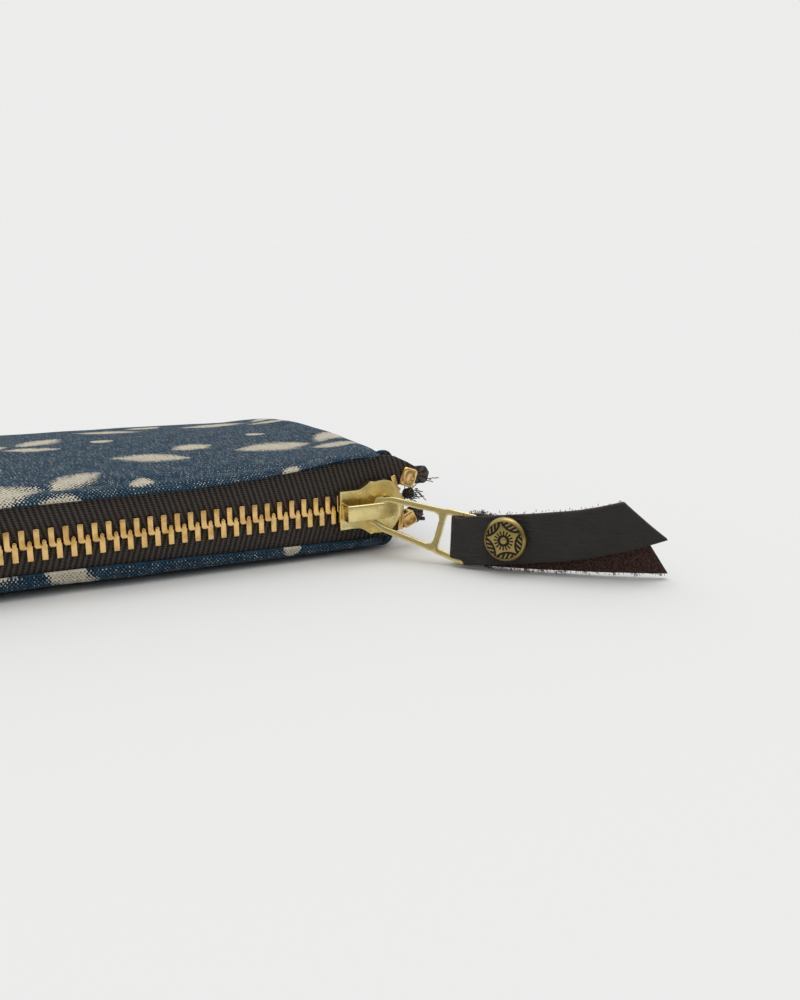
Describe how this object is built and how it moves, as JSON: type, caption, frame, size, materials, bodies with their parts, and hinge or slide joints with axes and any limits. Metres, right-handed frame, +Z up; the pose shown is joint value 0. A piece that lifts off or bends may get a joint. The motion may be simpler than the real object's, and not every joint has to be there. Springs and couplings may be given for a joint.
{
  "type": "zip wallet",
  "caption": "Slim padded cloth zip wallet with a brass zip along its front edge and a riveted leather tab folded through the zip pull",
  "frame": {"origin": "centre of the flat underside that the wallet lies on", "axes": "+X along the zip towards its closed end, the zip faces -Y, +Z up"},
  "size_m": [0.1793, 0.1436, 0.0203],
  "materials": {
    "outer_top_panel": "plain woven indigo cotton with a cream print",
    "outer_bottom_panel": "plain woven indigo cotton",
    "lining_top": "plain cotton",
    "lining_bottom": "plain cotton",
    "upper_tape": "ribbed zip tape, frayed at its free end",
    "lower_tape": "ribbed zip tape, frayed at its free end",
    "upper_teeth": "bright worn brass",
    "lower_teeth": "bright worn brass",
    "upper_top_stop": "bright worn brass",
    "lower_top_stop": "bright worn brass",
    "bottom_stop": "bright worn brass",
    "slider_body": "satin pale gold plate",
    "slider_bridge": "satin pale gold plate",
    "pull": "satin pale gold plate",
    "leather_tab": "dark grained leather with a rough brown flesh side",
    "rivet_cap": "antique brass with dark recesses",
    "rivet_post": "antique brass"
  },
  "bodies": {
    "wallet": {"outer_top_panel": "outer_top_panel", "outer_bottom_panel": "outer_bottom_panel", "lining_top": "lining_top", "lining_bottom": "lining_bottom", "upper_tape": "upper_tape", "lower_tape": "lower_tape", "upper_teeth": "upper_teeth", "lower_teeth": "lower_teeth", "upper_top_stop": "upper_top_stop", "lower_top_stop": "lower_top_stop", "bottom_stop": "bottom_stop"},
    "slider": {"slider_body": "slider_body", "slider_bridge": "slider_bridge"},
    "pull": {"pull": "pull"},
    "tab": {"leather_tab": "leather_tab", "rivet_cap": "rivet_cap", "rivet_post": "rivet_post"}
  },
  "joints": [
    {"name": "zip_slide", "type": "slide", "parent": "wallet", "child": "slider", "axis": [-1, 0, 0], "range_m": [0, 0.1145], "deforming": ["upper_teeth", "lower_teeth"]},
    {"name": "pull_swing", "type": "hinge", "parent": "slider", "child": "pull", "pos_m": [0.06205, -0.05355, 0.0093], "axis": [0.3007, 0, 0.9537], "range_deg": [-100, 5]},
    {"name": "tab_swing", "type": "hinge", "parent": "pull", "child": "tab", "pos_m": [0.0754, -0.06755, 0.00509], "axis": [0.3007, 0, 0.9537], "range_deg": [-70, 15]}
  ]
}
